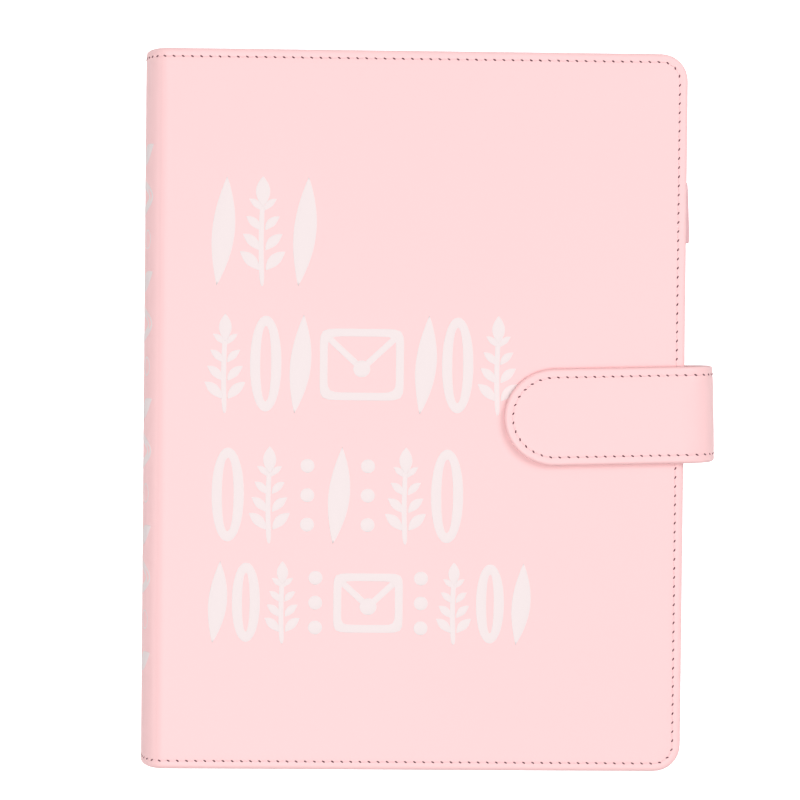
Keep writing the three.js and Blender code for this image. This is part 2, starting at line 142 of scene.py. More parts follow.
GRAIN.links.new(fine.outputs["Fac"], out.inputs["Fine"])

# %% [markdown]
# ### Slow variation
# No real sheet has one colour all over. A large, soft noise pulls the colour a little way towards a
# deeper rose.

# %% Slow variation group
DRIFT, into, out = group(
    "slow_drift",
    [("Vector", "NodeSocketVector", None), ("Colour", "NodeSocketColor", (1, 1, 1, 1)),
     ("Amount", "NodeSocketFloat", 0.05), ("Scale", "NodeSocketFloat", 14.0)],
    [("Colour", "NodeSocketColor")],
)
clouds = node(DRIFT, "ShaderNodeTexNoise",
              {"Vector": into.outputs["Vector"], "Scale": into.outputs["Scale"], "Detail": 3.0})
spread = node(DRIFT, "ShaderNodeMapRange", {"Value": clouds.outputs["Fac"], "From Min": 0.3, "From Max": 0.7,
                                            "To Min": 0.0, "To Max": into.outputs["Amount"]})
dark = node(DRIFT, "ShaderNodeMix", {"Factor": spread.outputs["Result"]}, data_type="RGBA")
# Mix keeps several sockets of the same name, so the colour ones are found by place.
MIX_A, MIX_B, MIX_RESULT = 6, 7, 2
DEEP_ROSE = (0.55, 0.30, 0.30, 1.0)
DRIFT.links.new(into.outputs["Colour"], dark.inputs[MIX_A])
dark.inputs[MIX_B].default_value = DEEP_ROSE
DRIFT.links.new(dark.outputs[MIX_RESULT], out.inputs["Colour"])
print("node groups:", [g.name for g in bpy.data.node_groups])


# %% [markdown]
# ## Finishes
# The cover is pale pink polyurethane leatherette: smooth, satin, with a very fine grain.
# Its colour goes straight on the shader, broken up a little by the slow drift.

# %% A general finish
def finish(name, colour, roughness, grain=0.0, scale=1600.0, pebble=0.5, drift=0.04, drift_scale=14.0,
           metallic=0.0, specular=0.5, sheen=0.0, distance=0.00005):
    """A material with drifting colour, roughness that follows the grain, and grain in its bump."""
    made = bpy.data.materials.new(name)
    made.use_nodes = True
    tree = made.node_tree
    tree.nodes.clear()
    place = node(tree, "ShaderNodeTexCoord").outputs["Object"]
    shader = node(tree, "ShaderNodeBsdfPrincipled", {"Metallic": metallic, "Specular IOR Level": specular})
    shader.inputs["Sheen Weight"].default_value = sheen
    node(tree, "ShaderNodeOutputMaterial", {"Surface": shader.outputs["BSDF"]})
    tone = node(tree, "ShaderNodeGroup", node_tree=DRIFT)
    tree.links.new(place, tone.inputs["Vector"])
    tone.inputs["Colour"].default_value = colour
    tone.inputs["Amount"].default_value = drift
    tone.inputs["Scale"].default_value = drift_scale
    tree.links.new(tone.outputs["Colour"], shader.inputs["Base Color"])
    skin = node(tree, "ShaderNodeGroup", node_tree=GRAIN)
    tree.links.new(place, skin.inputs["Vector"])
    skin.inputs["Scale"].default_value = scale
    skin.inputs["Pebble"].default_value = pebble
    gloss = node(tree, "ShaderNodeMapRange", {"Value": skin.outputs["Fine"], "From Min": 0.3, "From Max": 0.7,
                                              "To Min": roughness - 0.05, "To Max": roughness + 0.05})
    tree.links.new(gloss.outputs["Result"], shader.inputs["Roughness"])
    if grain:
        bump = node(tree, "ShaderNodeBump",
                    {"Strength": grain, "Distance": distance, "Height": skin.outputs["Height"]})
        tree.links.new(bump.outputs["Normal"], shader.inputs["Normal"])
    return made


# %% [markdown]
# ### The wallet's own finishes
# Leatherette, lining, board, paper, ink, thread and metal differ only in the values given here, so
# one function makes them all.

# %% The wallet's own finishes
PINK = linear(247, 202, 203)
PULP = {"grain": 0.25, "scale": 900.0, "drift": 0.03, "distance": 0.00003}
LEATHER = finish("pink_leatherette", PINK, 0.46, grain=0.16, drift=0.02, specular=0.42)
STRAP_LEATHER = finish("strap_leatherette", PINK, 0.45, grain=0.16, drift=0.02, specular=0.42)
# The pen loop's leatherette is the cover's pink made deeper: painted shade for the shadow on the loop.
LOOP_LEATHER_PAINTED_SHADE = finish("loop_leatherette_painted_shade", linear(236, 184, 189), 0.5, grain=0.2, drift=0.04)
LINING = finish("pink_lining", linear(238, 192, 196), 0.62, grain=0.3, scale=1100.0, pebble=0.9)
GREYBOARD = finish("greyboard", linear(178, 170, 158), 0.95, grain=0.5, scale=700.0,
                   drift=0.2, drift_scale=120.0)
PAPER = finish("leaf_paper", linear(234, 229, 222), 0.88, **PULP)
PAPER_PINK = finish("pink_leaf_paper", linear(232, 203, 201), 0.88, **PULP)
FLAP_PAPER = finish("flap_paper", linear(226, 188, 188), 0.88, **PULP)
ROSE_INK = finish("rose_ink", linear(176, 104, 116), 0.7, drift=0.03)
PRINT = finish("off_white_print", linear(232, 219, 219), 0.55, grain=0.12, drift=0.01)
THREAD = finish("pale_thread", linear(250, 206, 208), 0.75, grain=0.5, scale=5200.0, drift=0.05, sheen=0.2)
# Needle holes: a dark colour that is painted shade, for the shadow inside each hole.
NEEDLE_HOLE_SHADE = finish("needle_hole_painted_shade", linear(104, 58, 70), 0.9)
CHROME = finish("ring_plating", linear(226, 227, 230), 0.16, grain=0.05, scale=500.0,
                drift=0.03, metallic=1.0)
STEEL = finish("plain_steel", linear(160, 162, 166), 0.34, grain=0.2, scale=900.0, drift=0.1, metallic=1.0)
print("finishes:", len(bpy.data.materials))


# %% [markdown]
# ## Turning arrays into meshes
# A surface here is a grid of points worked out by numpy. One helper writes the grid into a mesh,
# welds the seams and poles, and shades it smooth except at sharp edges.

# %% Mesh helpers
def grid_faces(rows, columns, start=0, closed=False):
    """Quads between neighbours in a grid of rows x columns, the columns closed into a ring if asked."""
    across = np.arange(columns if closed else columns - 1)
    first = start + np.arange(rows - 1)[:, None] * columns
    here, there = first + across, first + (across + 1) % columns
    return np.stack([here, there, there + columns, here + columns], -1).reshape(-1, 4)


def mesh_object(name, points, faces, material, sharp=40.0, weld=2e-6):
    """A new object from arrays: doubles merged, faces turned outwards, smooth below the sharp angle."""
    data = bpy.data.meshes.new(name)
    data.from_pydata(points.reshape(-1, 3).tolist(), [], [list(f) for f in faces])
    edit = bmesh.new()
    edit.from_mesh(data)
    bmesh.ops.remove_doubles(edit, verts=edit.verts, dist=weld)
    bmesh.ops.dissolve_degenerate(edit, edges=edit.edges, dist=weld / 4)
    bmesh.ops.recalc_face_normals(edit, faces=edit.faces)
    edit.to_mesh(data)
    edit.free()
    data.materials.append(material)
    made = bpy.data.objects.new(name, data)
    bpy.context.scene.collection.objects.link(made)
    data.shade_smooth()
    data.set_sharp_from_angle(angle=math.radians(sharp))
    return made


# %% [markdown]
# ## The cover's profile
# Seen from the bottom end, the leatherette runs from the fore-edge along the back, round the spine
# and along the front. The spine is a superellipse: |x / bulge|^p + |z / half thickness|^p = 1.
# Everything sewn or glued to the cover is drawn flat first, then rolled onto this curve.

# %% Profile and rolling
def spine_arc(steps=400):
    """Points of the superellipse from the back crease, round the spine, to the front crease."""
    turn = np.linspace(0, np.pi, steps)
    power = 2 / SQUARENESS
    x = CREASE_X - BULGE * np.sin(turn) ** power
    z = THICK / 2 - THICK / 2 * np.sign(np.cos(turn)) * np.abs(np.cos(turn)) ** power
    return np.stack([x, z], -1)


arc = spine_arc()
profile = np.vstack([[FORE_X + 0.02, 0.0], [FORE_X, 0.0], arc, [FORE_X, THICK], [FORE_X + 0.02, THICK]])
walk = np.concatenate([[0], np.cumsum(np.linalg.norm(np.diff(profile, axis=0), axis=1))]) - 0.02
BACK_CREASE, FRONT_CREASE = walk[2], walk[-3]
COVER_END = walk[-2]
slope = np.gradient(profile, walk, axis=0)
slope /= np.linalg.norm(slope, axis=1)[:, None]
# The back runs towards -X with its outside below, so outwards is the direction turned by a quarter.
outward = np.stack([-slope[:, 1], slope[:, 0]], -1)
SPINE_MID = (BACK_CREASE + FRONT_CREASE) / 2


def roll(s, y, h):
    """Flat (s along the profile, y, h above the outside) placed on the cover: profile(s) + h * outward(s)."""
    x = np.interp(s, walk, profile[:, 0]) + h * np.interp(s, walk, outward[:, 0])
    z = np.interp(s, walk, profile[:, 1]) + h * np.interp(s, walk, outward[:, 1])
    return np.stack([x, np.broadcast_to(y, x.shape), z], -1)


print("outside, from fore-edge to fore-edge:", round(COVER_END / MM, 1), "mm, round the spine",
      round((FRONT_CREASE - BACK_CREASE) / MM, 1), "mm")
for spot, s in (("back", 0.05), ("spine", SPINE_MID), ("front", COVER_END - 0.05)):
    on_surface, one_above = roll(np.array([s, s]), 0.0, np.array([0.0, 1.0]))
    print("outward at the", spot, np.round(one_above - on_surface, 2).tolist())


# %% [markdown]
# ## A sheet with finished edges
# Skins, linings, the strap and the pen loop's tail are all sheets whose outline mirrors across the middle
# line.
# The outline is half a width at each length. A section, a list of (inset, height) steps, is carried
# round the outline, and two grids close the outside and the inside.

# %% The sheet builder
def sheet_surface(length, width, section, columns=12):
    """Rings of the outline, each moved in by an inset and up by a height, the first and last filled.

    The outline's outward normal is (-dw, ds) for half width w(s). A ring point is the outline's
    point less inset * normal."""
    length, width = np.asarray(length, float), np.asarray(width, float)
    ds, dw = np.gradient(length), np.gradient(width)
    size = np.hypot(ds, dw)
    size[size == 0] = 1
    normal_s, normal_w = -dw / size, ds / size
    # The two ends are straight edges, and the outline's first and last points are their corners.
    points, rings, count = [], [], 0
    for inset, height in section:
        s = length - inset * normal_s
        w = np.maximum(width - inset * normal_w, 0)
        if width[0] > 0:
            s[0] = length[0] + inset
        if width[-1] > 0:
            s[-1] = length[-1] - inset
        fan = np.linspace(1, -1, columns + 1)[1:-1]
        ring = np.concatenate([
            np.stack([s, w], -1),
            np.stack([np.full(columns - 1, s[-1]), w[-1] * fan], -1),
            np.stack([s[::-1], -w[::-1]], -1),
            np.stack([np.full(columns - 1, s[0]), -w[0] * fan], -1),
        ])
        rings.append((s, w, height))
        points.append(np.column_stack([ring, np.full(len(ring), height)]))
        count += len(ring)
    loop = len(points[0])
    faces = [grid_faces(len(section), loop, 0, closed=True)]
    for s, w, height in (rings[0], rings[-1]):
        spread = np.linspace(1, -1, columns + 1)
        fill = np.stack([np.repeat(s[:, None], columns + 1, 1), w[:, None] * spread,
                         np.full((len(s), columns + 1), height)], -1).reshape(-1, 3)
        faces.append(grid_faces(len(s), columns + 1, count))
        points.append(fill)
        count += len(fill)
    return np.vstack(points), np.vstack(faces)


def rounded_end(start, end, half, radius, steps=9):
    """Half widths from a straight end to where the corner is done, for a corner of that radius."""
    turn = np.linspace(0, np.pi / 2, steps)
    way = 1 if end > start else -1
    return start + way * radius * (1 - np.cos(turn)), half - radius + radius * np.sin(turn)


def turned_edge(thick, skin, lip, radius, reach=6.5 * MM, seam=0.10 * MM):
    """Section of a wrapped cover: outside, stitch groove, round edge, lip on the inside, down to the skin.

    The edge is a superellipse of the thickness, and the groove a dip where the thread pulls the skin in."""
    groove = [(reach, 0), (reach * 0.75, -0.01 * MM), (STITCH_INSET + 0.9 * MM, -0.02 * MM),
              (STITCH_INSET + 0.35 * MM, -seam * 0.75), (STITCH_INSET, -seam),
              (STITCH_INSET - 0.35 * MM, -seam * 0.75), (STITCH_INSET - 0.9 * MM, -0.01 * MM)]
    turn = np.linspace(-np.pi / 2, np.pi / 2, 11)
    bend = [(radius * (1 - np.cos(t)), -thick / 2 - thick / 2 * np.sin(t)) for t in turn]
    return groove + bend + [(lip, -thick), (lip, -skin), (reach, -skin)]


# %% [markdown]
# ## Leatherette over the back and the spine
# One sheet of leatherette covers the whole outside, but the front must open. The sheet is parted just
# round the corner of the front crease, where both parts have the same curve, so no seam shows.

# %% The back and the spine
PART_LINE = FRONT_CREASE - 2.6 * MM
SKIN = 1.2 * MM
LIP = 1.5 * MM
EDGE = 1.3 * MM
corner_s, corner_w = rounded_end(0.0, 1.0, HALF_Y, CORNER)
spine_steps = np.linspace(BACK_CREASE - 2 * MM, PART_LINE, 44)
back_s = np.concatenate([corner_s, np.linspace(corner_s[-1], BACK_CREASE - 2 * MM, 14)[1:-1], spine_steps])
back_w = np.concatenate([corner_w, np.full(len(back_s) - len(corner_w), HALF_Y)])


def parted_sheet(name, length, width, section, material, part_at_end):
    """A sheet with one straight parting end: the outline runs on past it, and a cut closes it flat."""
    step = 12 * MM
    if part_at_end:
        cut = length[-1]
        length, width = np.append(length, cut + step), np.append(width, width[-1])
    else:
        cut = length[0]
        length, width = np.insert(length, 0, cut - step), np.insert(width, 0, width[0])
    points, faces = sheet_surface(length, width, section)
    data = bpy.data.meshes.new(name)
    data.from_pydata(points.tolist(), [], [list(f) for f in faces])
    edit = bmesh.new()
    edit.from_mesh(data)
    bmesh.ops.remove_doubles(edit, verts=edit.verts, dist=2e-6)
    way = 1 if part_at_end else -1
    cutting = bmesh.ops.bisect_plane(
        edit, geom=edit.verts[:] + edit.edges[:] + edit.faces[:], dist=1e-7,
        plane_co=(cut, 0, 0), plane_no=(way, 0, 0), clear_outer=True,
    )
    rim = [e for e in cutting["geom_cut"] if isinstance(e, bmesh.types.BMEdge)]
    bmesh.ops.holes_fill(edit, edges=rim, sides=0)
    bmesh.ops.recalc_face_normals(edit, faces=edit.faces)
    edit.to_mesh(data)
    edit.free()
    flat = np.empty(len(data.vertices) * 3)
    data.vertices.foreach_get("co", flat)
    flat = flat.reshape(-1, 3)
    data.vertices.foreach_set("co", roll(flat[:, 0], flat[:, 1], flat[:, 2]).ravel())
    data.materials.append(material)
    data.update()
    made = bpy.data.objects.new(name, data)
    bpy.context.scene.collection.objects.link(made)
    data.shade_smooth()
    data.set_sharp_from_angle(angle=math.radians(50))
    return made


edge_section = turned_edge(PANEL, SKIN, LIP, EDGE)
back_leather = parted_sheet("back_leather", back_s, back_w, edge_section, LEATHER, part_at_end=True)
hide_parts("back_and_spine_skin")
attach(back_leather, "binder")
print("back leather:", len(back_leather.data.vertices), "points")

# %% The front
FOLD_START = (float(roll(np.array([PART_LINE]), 0.0, np.zeros(1))[0][0]), 0, THICK)
FOLD_END = (CREASE_X + 3.2 * MM, 0, THICK)
end_s, end_w = rounded_end(COVER_END, 0.0, HALF_Y, CORNER)
front_s = np.concatenate([np.linspace(PART_LINE, FRONT_CREASE + 5 * MM, 18),
                          np.linspace(FRONT_CREASE + 5 * MM, end_s[-1], 14)[1:-1], end_s[::-1]])
front_w = np.concatenate([np.full(len(front_s) - len(end_w), HALF_Y), end_w[::-1]])
front_leather = parted_sheet("front_leather", front_s, front_w, edge_section, LEATHER, part_at_end=False)
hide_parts("front_cover_skin")
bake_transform(front_leather)
print("front leather:", len(front_leather.data.vertices), "points")

# %% [markdown]
# ## Lining
# The inside is lined with a slightly deeper pink sheet, glued on inside the turned edge.
# It is rolled on the same profile, a board's depth further in, and parted at the same line.

# %% Lining sheets
LINING_TOP = -PANEL
LINING_LOW = -(PANEL - 0.8 * MM)
LINING_INSET = 1.75 * MM
lining_section = [(6 * MM, LINING_TOP), (LINING_INSET + 0.7 * MM, LINING_TOP),
                  (LINING_INSET + 0.2 * MM, LINING_TOP + 0.08 * MM),
                  (LINING_INSET, LINING_TOP + 0.3 * MM), (LINING_INSET, LINING_LOW), (6 * MM, LINING_LOW)]
lining_back = parted_sheet("back_lining_sheet", back_s, back_w, lining_section, LINING, part_at_end=True)
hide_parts("back_and_spine_lining")
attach(lining_back, "binder")
lining_front = parted_sheet("front_lining_sheet", front_s, front_w, lining_section, LINING, part_at_end=False)
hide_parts("front_cover_lining")
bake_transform(lining_front)
print("linings:", len(lining_back.data.vertices), len(lining_front.data.vertices), "points")


# %% [markdown]
# ## Stitching
# A lockstitch shows as short runs of thread between needle holes. The thread is pale, and each hole is
# a small slit, turned a little because a leather needle has a slanted blade. Its dark colour is painted
# shade, for the shadow inside the hole.
# Both are drawn once, repeated along the stitch row as whole arrays, and rolled onto the cover.

# %% Stitch shapes
def thread_run(long=2.3 * MM, thick=0.44 * MM, high=0.2 * MM, steps=7, sides=6):
    """One run of thread along +X, an arched tube sunk at its ends: half width = thick/2 * (1 - u^4)^0.5."""
    u = np.linspace(-1, 1, steps)[:, None]
    turn = np.linspace(0, 2 * np.pi, sides, endpoint=False)[None, :]
    half = thick / 2 * np.sqrt(np.clip(1.02 - u**4, 0.02, 1))
    x = np.repeat(u * long / 2, sides, 1)
    y = half * np.cos(turn)
    z = half * 0.8 * np.sin(turn) + high * (1 - u**2) - 0.16 * MM
    points = np.stack([x, y, z], -1).reshape(-1, 3)
    caps = np.array([[0, 5, 4, 3], [0, 3, 2, 1]])
    last = (steps - 1) * sides
    ends = np.vstack([caps, last + np.array([[0, 1, 2, 3], [0, 3, 4, 5]])])
    return points, np.vstack([grid_faces(steps, sides, 0, closed=True), ends])


def needle_slit(long=1.08 * MM, wide=0.46 * MM, slant=0.0):
    """A lens on the surface, for a hole coloured with painted shade: a ring of eight points round a raised
    middle, turned by slant.
    """
    count = 8
    turn = np.linspace(0, 2 * np.pi, count, endpoint=False)
    x, y = long / 2 * np.cos(turn), wide / 2 * np.sin(turn)
    ring = np.stack([x * np.cos(slant) - y * np.sin(slant), x * np.sin(slant) + y * np.cos(slant), 0 * x], -1)
    top = np.array([[0, 0, 0.05 * MM]])
    depth = np.array([[0, 0, 0.12 * MM]])
    points = np.vstack([ring, ring - depth, top, -depth])
    pairs = [(a, (a + 1) % count) for a in range(count)]
    faces = [[a, b, 2 * count] for a, b in pairs]
    faces += [[b, a, a + count, b + count] for a, b in pairs]
    return points, faces + [[b + count, a + count, 2 * count + 1] for a, b in pairs]


def along_path(path, pitch, what):
    """Places on a polyline, the pitch adjusted to a whole count: "runs" half way between the holes,
    "holes" with both ends, or "inner holes" without them. Returns positions and directions."""
    steps = np.linalg.norm(np.diff(path, axis=0), axis=1)
    distance = np.concatenate([[0], np.cumsum(steps)])
    count = max(int(round(distance[-1] / pitch)), 1)
    number = {
        "runs": np.arange(count) + 0.5,
        "holes": np.arange(count + 1),
        "inner holes": np.arange(1, count),
    }[what]
    at = number * distance[-1] / count
    place = np.stack([np.interp(at, distance, path[:, k]) for k in (0, 1)], -1)
    ahead = np.stack([np.interp(at + 0.4 * MM, distance, path[:, k]) for k in (0, 1)], -1)
    behind = np.stack([np.interp(at - 0.4 * MM, distance, path[:, k]) for k in (0, 1)], -1)
    way = ahead - behind
    return place, way / np.linalg.norm(way, axis=1)[:, None]


def repeat_along(shape, place, way, lift=0.0):
    """Copies of a small shape: its X along the way, its Y across, as flat (s, y, h) points and faces."""
    points, faces = shape
    across = np.stack([-way[:, 1], way[:, 0]], -1)
    flat = (place[:, None, :] + points[None, :, 0, None] * way[:, None, :]
            + points[None, :, 1, None] * across[:, None, :])
    high = np.broadcast_to(points[None, :, 2] + lift, flat.shape[:2])
    stacked = np.concatenate([flat, high[..., None]], -1).reshape(-1, 3)
    shift = len(points)
    if isinstance(faces, np.ndarray):
        return stacked, (faces[None] + (np.arange(len(place)) * shift)[:, None, None]).reshape(-1, 4).tolist()
    return stacked, [[v + k * shift for v in face] for k in range(len(place)) for face in faces]


def plain_object(name, points, faces, material):
    """An object from points and faces that are already closed and welded, shaded smooth."""
    data = bpy.data.meshes.new(name)
    data.from_pydata(points.tolist(), [], faces)
    edit = bmesh.new()
    edit.from_mesh(data)
    bmesh.ops.recalc_face_normals(edit, faces=edit.faces)
    edit.to_mesh(data)
    edit.free()
    data.materials.append(material)
    data.shade_smooth()
    made = bpy.data.objects.new(name, data)
    bpy.context.scene.collection.objects.link(made)
    return made


# %% [markdown]
# ### Rows round the cover
# One row runs round each cover at the same distance from its edge, and starts beside the parting
# line. The front row stays fixed where it is drawn, like its leather. The back row has no holes at its
# two ends, because the front row has them there.

# %% Stitch rows of the cover
SEW_R = CORNER - STITCH_INSET
SEAM_START = PART_LINE + 0.8 * MM


def cover_row(part):
    """The stitch row's path in (s, y) for one part of the cover, from the seam's start round to it again."""
    turn = np.linspace(0, np.pi / 2, 10)
    half = HALF_Y - STITCH_INSET
    toward = 1 if part == "front" else -1
    edge = COVER_END - STITCH_INSET if part == "front" else STITCH_INSET
    upper = np.stack([edge - toward * (SEW_R - SEW_R * np.sin(turn)),
                      half - SEW_R + SEW_R * np.cos(turn)], -1)
    path = np.vstack([[[SEAM_START, half]], upper])
    return np.vstack([path, path[::-1] * [1, -1]])


def sew(name, path, rolled, slant, body=None, fold=None, lift=-0.10 * MM, holes="holes"):
    """Thread and needle slits along a path, put in place by rolled. They ride a body, or stay fixed where
    they are drawn when a fold is given.
    """
    for label, shape, material, up, what in (
        ("thread", thread_run(), THREAD, lift, "runs"),
        ("slits", needle_slit(slant=slant), NEEDLE_HOLE_SHADE, lift + 0.13 * MM, holes),
    ):
        place, way = along_path(path, STITCH_PITCH, what)
        points, faces = repeat_along(shape, place, way, up)
        piece = plain_object(f"{name}_{label}", rolled(points), faces, material)
        if fold:
            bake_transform(piece)
        else:
            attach(piece, body)
    print(name, len(place), "holes")


def rolled_on_cover(points):
    """Rows of (s, y, h) placed on the cover."""
    return roll(points[:, 0], points[:, 1], points[:, 2])


SLANT = math.radians(28)
sew("front_row", cover_row("front"), rolled_on_cover, -SLANT,
    fold=("binder", "front_cover", FOLD_START, FOLD_END))
sew("back_row", cover_row("back"), rolled_on_cover, SLANT, body="binder", holes="inner holes")

# %% [markdown]
# ## The strap
# The strap is two layers of leatherette, sewn together round the edge, with a magnet between them.
# Its middle line leaves the back cover's edge, bends up past the fore-edge and lies on the front.
# It is rolled on that line just as the cover is rolled on its own profile. How far it reaches and how
# round its tip is were measured in the photo, and both are a little more than the CAD solids have.

# %% The strap's line
STRAP_TILT = math.radians(1.6)
STRAP_Y = -0.3 * MM
STRAP_HALF = 15.6 * MM
STRAP_REACH = 58.4 * MM
STRAP_TIP = 16.4 * MM
STRAP_THICK = 2.5 * MM
STRAP_BULGE = 11.2 * MM
STRAP_SQUARENESS = 2.4
FOLD_DROP = 6 * MM
FOLD_SPREAD = 5.5 * MM
strap_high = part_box("strap_top_layer")[1]
STRAP_OUT = STRAP_BULGE - STRAP_THICK / 2
STRAP_TOP = float(strap_high[2]) - STRAP_THICK / 2
STRAP_ROOT = 1.9 * MM
middle_z = (STRAP_TOP + STRAP_ROOT) / 2
fold_z = THICK - FOLD_DROP
turn = np.linspace(0, np.pi, 300)
power = 2 / STRAP_SQUARENESS
drop = np.sign(np.cos(turn)) * np.abs(np.cos(turn)) ** power
bend = np.stack([STRAP_OUT * np.sin(turn) ** power, middle_z - (middle_z - STRAP_ROOT) * drop], -1)
strap_line = np.vstack([bend, [-STRAP_REACH, STRAP_TOP], [-STRAP_REACH - 0.01, STRAP_TOP]])
strap_walk = np.concatenate([[0], np.cumsum(np.linalg.norm(np.diff(strap_line, axis=0), axis=1))])
STRAP_LENGTH = strap_walk[-2]
strap_slope = np.gradient(strap_line, strap_walk, axis=0)
strap_slope /= np.linalg.norm(strap_slope, axis=1)[:, None]
print("strap, root to tip:", round(STRAP_LENGTH / MM, 1), "mm")


def roll_strap(points):
    """Flat (s from the root, y, h above the outside) placed on the strap's line: line(s) + h * outward(s),
    then tilted and set at the fore-edge."""
    s, y, h = points[:, 0], points[:, 1], points[:, 2] + STRAP_THICK / 2
    x = np.interp(s, strap_walk, strap_line[:, 0]) + h * np.interp(s, strap_walk, strap_slope[:, 1])
    z = np.interp(s, strap_walk, strap_line[:, 1]) - h * np.interp(s, strap_walk, strap_slope[:, 0])
    return np.stack([FORE_X + x * math.cos(STRAP_TILT) - y * math.sin(STRAP_TILT),
                     STRAP_Y + x * math.sin(STRAP_TILT) + y * math.cos(STRAP_TILT), z], -1)


# %% [markdown]
# ### The strap's sheet
# The outline has straight sides and a tip that is half an ellipse. One rolled sheet stands for both
# layers and the sewn tail, and stays fixed where it is drawn.

# %% The strap's sheet
turn = np.linspace(np.pi / 2, 0.03, 20)
tip_s = STRAP_LENGTH - STRAP_TIP + STRAP_TIP * np.cos(turn)
tip_w = STRAP_HALF * np.sin(turn)
start_s = 1.3 * MM
strap_s = np.concatenate([np.linspace(start_s, STRAP_LENGTH - STRAP_TIP, 60)[:-1], tip_s])
strap_w = np.concatenate([np.full(len(strap_s) - len(tip_w), STRAP_HALF), tip_w])
turn = np.linspace(-np.pi / 2, np.pi / 2, 11)
strap_section = [(5 * MM, 0.10 * MM), (3.9 * MM, 0.05 * MM), (3.1 * MM, -0.04 * MM), (2.75 * MM, -0.07 * MM),
                 (2.4 * MM, -0.04 * MM), (1.7 * MM, 0.0)]
strap_section += [(0.95 * MM * (1 - np.cos(t)), -STRAP_THICK / 2 - STRAP_THICK / 2 * np.sin(t)) for t in turn]
strap_section += [(2.75 * MM, -STRAP_THICK + 0.05 * MM), (5 * MM, -STRAP_THICK)]
points, faces = sheet_surface(strap_s, strap_w, strap_section, columns=8)
strap = mesh_object("strap_leather", roll_strap(points), faces, STRAP_LEATHER, sharp=60)
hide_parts("strap_top_layer", "strap_under_layer", "strap_tail")
STRAP_FOLD = ("binder", "strap", (0, 0, fold_z - FOLD_SPREAD), (0, 0, fold_z + FOLD_SPREAD))
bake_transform(strap)
print("strap:", len(strap.data.vertices), "points")

# %% [markdown]
# ### The strap's stitches
# The row keeps its distance from the outline all round. On the elliptical tip it is moved in along
# the ellipse's own normal, (cos t / length, sin t / half width) scaled to 1.

# %% The strap's stitches
turn = np.linspace(np.pi / 2, -np.pi / 2, 40)
edge_s = STRAP_LENGTH - STRAP_TIP + STRAP_TIP * np.cos(turn)
edge_w = STRAP_HALF * np.sin(turn)
normal = np.stack([np.cos(turn) / STRAP_TIP, np.sin(turn) / STRAP_HALF], -1)
normal /= np.linalg.norm(normal, axis=1)[:, None]
tip_path = np.stack([edge_s, edge_w], -1) - STITCH_INSET * normal
row_start = start_s + 1 * MM
row_half = STRAP_HALF - STITCH_INSET
strap_path = np.vstack([[[row_start, row_half]], tip_path, [[row_start, -row_half]]])
sew("strap_row", strap_path, roll_strap, SLANT, fold=STRAP_FOLD, lift=-0.07 * MM)

# %% [markdown]
# ## The printed decoration
# The front carries four rows of off-white print, and the spine one column. Here they are plain leaves,
# rings, sprigs, dots and envelopes. Each shape is a closed plate with a soft edge, raised a few
# hundredths of a millimetre like a thick screen print, then rolled onto the cover. Shapes that cross
# have slightly different heights, so none lies in the plane of another.

# %% Plates of ink
INK = 0.05 * MM
INK_SECTION = ((0.0, -0.05 * MM), (0.0, 0.6 * INK), (0.09 * MM, INK))
THINNEST = 0.02 * MM
PEN_END = 0.49 * np.pi


def ribbon(line, half):
    """Points (s, y, h) and faces of a band, line +- half * normal, with the ink's soft edge."""
    line = np.asarray(line, float)
    half = np.broadcast_to(np.asarray(half, float), len(line))
    way = np.gradient(line, axis=0)
    way /= np.linalg.norm(way, axis=1)[:, None]
    side = np.stack([-way[:, 1], way[:, 0]], -1)
    rows = [(1, draw, h) for draw, h in INK_SECTION] + [(-1, draw, h) for draw, h in INK_SECTION[::-1]]
    edges = [line + sign * side * np.maximum(half - draw, THINNEST)[:, None] for sign, draw, _ in rows]
    ring = np.stack([np.column_stack([edge, np.full(len(line), h)])
                     for edge, (_, _, h) in zip(edges, rows)], 1)
    last = (len(line) - 1) * len(rows)
    faces = grid_faces(len(line), len(rows), 0, closed=True).tolist()
    faces += [[0, 1, 4, 5], [1, 2, 3, 4]]
    faces += [[last + 5, last + 4, last + 1, last], [last + 4, last + 3, last + 2, last + 1]]
    return ring.reshape(-1, 3), faces


def frame_band(x, y, half_w, half_l, stroke, corner=2.0, steps=56):
    """A closed band between two superellipses, |X/a|^n + |Y/b|^n = 1, one a stroke inside the other."""
    turn = np.linspace(0, 2 * np.pi, steps, endpoint=False)
    reach = (np.abs(np.cos(turn)) ** corner + np.abs(np.sin(turn)) ** corner) ** (-1 / corner)

    def curve(inward):
        return np.stack([x + (half_w - inward) * reach * np.cos(turn),
                         y + (half_l - inward) * reach * np.sin(turn)], -1)

    rows = [(draw, h) for draw, h in INK_SECTION] + [(stroke - draw, h) for draw, h in INK_SECTION[::-1]]
    ring = np.stack([np.column_stack([curve(inward), np.full(steps, h)]) for inward, h in rows], 1)
    faces = grid_faces(steps + 1, len(rows), 0, closed=True) % (steps * len(rows))
    return ring.reshape(-1, 3), faces.tolist()


def leaf_shape(x, y, long, wide, lean=0.0, bow=0.0, steps=25):
    """A pointed oval, half width = wide/2 * sin(pi t)^0.9, on a line that leans and is bent by its bow."""
    t = np.linspace(0.006, 0.994, steps)
    way = np.array([math.sin(lean), math.cos(lean)])
    over = np.array([way[1], -way[0]])
    line = np.array([x, y]) + (t[:, None] - 0.5) * long * way + bow * (1 - (2 * t[:, None] - 1) ** 2) * over
    return ribbon(line, wide / 2 * np.sin(np.pi * t) ** 0.9)


def dot(x, y, size, steps=19):
    """A disc as a band whose half width follows a circle, its steps closer together near its ends."""
    t = np.sin(np.linspace(-PEN_END, PEN_END, steps))
    return ribbon(np.stack([np.full(steps, x), y + t * size / 2], -1), size / 2 * np.sqrt(1 - t**2))


